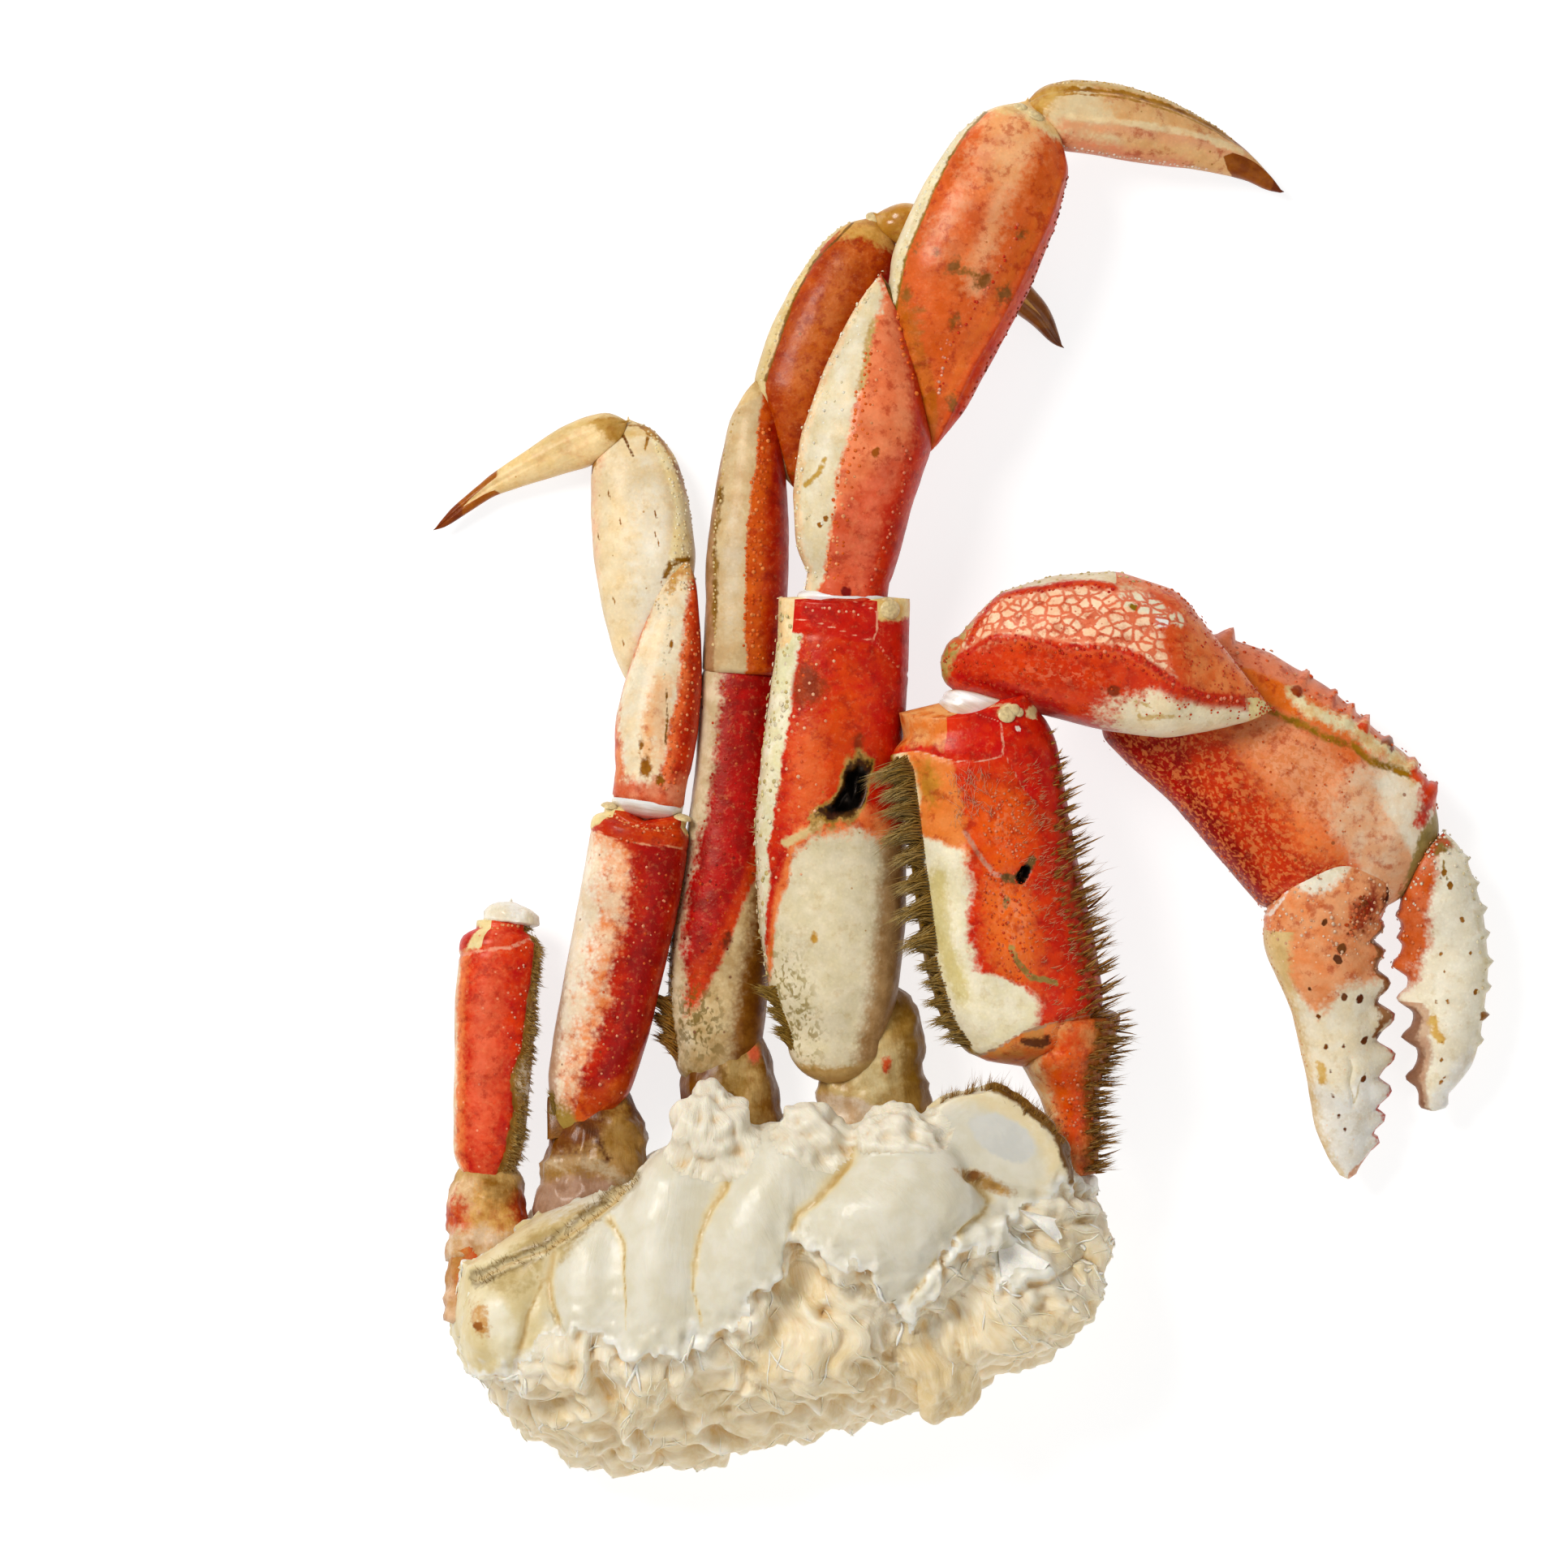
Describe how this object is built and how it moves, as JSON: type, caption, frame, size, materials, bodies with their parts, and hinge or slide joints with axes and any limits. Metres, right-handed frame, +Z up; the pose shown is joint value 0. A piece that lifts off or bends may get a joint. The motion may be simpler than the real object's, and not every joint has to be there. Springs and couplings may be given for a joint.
{
  "type": "dungeness crab cluster",
  "caption": "Cooked dungeness crab cluster: the meaty shoulder of one side of the crab with its claw and walking legs, lying on its underside.",
  "frame": {"origin": "under the middle of the whole, on the surface it lies on", "axes": "+X from the broken leg towards the claw, +Y from the shoulder towards the leg tips, +Z up"},
  "size_m": [0.183, 0.2414, 0.0448],
  "materials": {
    "red_shell": "satin, granular cooked shell with cream patches",
    "orange_shell": "satin, mottled cooked shell",
    "cream_shell": "satin, cream shell with brown specks",
    "brown_shell": "matt, brown and olive shell",
    "white_wall": "smooth, slightly wet white inner wall",
    "knee_membrane": "smooth, slightly see-through membrane",
    "meat": "moist, fibrous flaked meat"
  },
  "bodies": {
    "root": {"claw_carpus": "red_shell", "claw_merus": "red_shell", "first_leg_carpus": "red_shell", "first_leg_merus": "red_shell", "third_leg_merus": "red_shell", "second_leg_carpus": "red_shell", "second_leg_merus": "red_shell", "broken_leg_merus": "red_shell", "claw_palm": "orange_shell", "claw_ischium": "orange_shell", "first_leg_propodus": "orange_shell", "second_leg_propodus": "orange_shell", "broken_leg_coxa": "orange_shell", "chamber_1": "cream_shell", "claw_fixed_finger": "cream_shell", "claw_moving_finger": "cream_shell", "first_leg_dactyl": "cream_shell", "third_leg_carpus": "cream_shell", "third_leg_propodus": "cream_shell", "third_leg_dactyl": "cream_shell", "second_leg_dactyl": "cream_shell", "broken_leg_ischium": "cream_shell", "first_leg_ischium": "brown_shell", "third_leg_coxa": "brown_shell", "second_leg_ischium": "brown_shell", "chamber_5": "white_wall", "chamber_4": "white_wall", "chamber_3": "white_wall", "chamber_2": "white_wall", "chamber_6_edge": "white_wall", "claw_socket_pad": "white_wall", "claw_knee_membrane": "knee_membrane", "first_leg_knee_membrane": "knee_membrane", "third_leg_knee_membrane": "knee_membrane", "leg_stump_1": "meat", "leg_stump_2": "meat", "leg_stump_3": "meat", "meat_under_chamber_5": "meat", "meat_right": "meat", "meat_chunk": "meat", "broken_leg_stump": "meat", "shoulder_core": "meat"}
  },
  "joints": []
}
